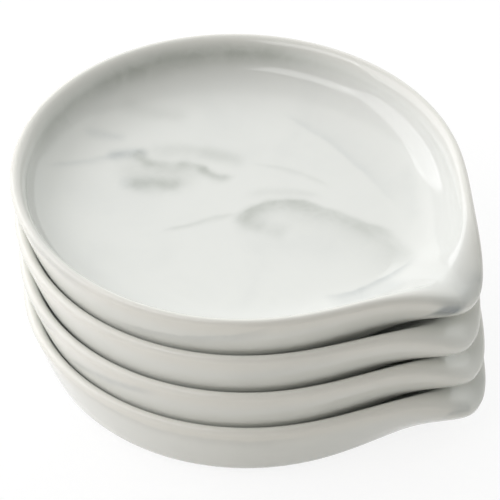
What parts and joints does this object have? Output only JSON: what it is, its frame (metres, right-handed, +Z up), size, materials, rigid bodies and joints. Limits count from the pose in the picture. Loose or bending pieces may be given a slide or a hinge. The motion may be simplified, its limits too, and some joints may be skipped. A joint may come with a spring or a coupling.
{
  "type": "spoon rest",
  "caption": "Stack of nested round ceramic spoon rests, each a shallow glazed dish on a foot ring whose rim dips into a broad lip for the spoon's handle.",
  "frame": {"origin": "on the table under the middle of the stack's box", "axes": "+X along the lips, +Z up"},
  "size_m": [0.1206, 0.1096, 0.0543],
  "materials": {
    "glaze": "glossy white glaze with soft grey marbling"
  },
  "bodies": {
    "bottom": {"dish_bottom": "glaze"},
    "lower": {"dish_lower": "glaze"},
    "upper": {"dish_upper": "glaze"},
    "top": {"dish_top": "glaze"}
  },
  "joints": [
    {"name": "lower_lift", "type": "slide", "parent": "bottom", "child": "lower", "axis": [0, 0, 1], "range_m": [0, 0.04]},
    {"name": "upper_lift", "type": "slide", "parent": "lower", "child": "upper", "axis": [0, 0, 1], "range_m": [0, 0.04]},
    {"name": "top_lift", "type": "slide", "parent": "upper", "child": "top", "axis": [0, 0, 1], "range_m": [0, 0.04]}
  ]
}
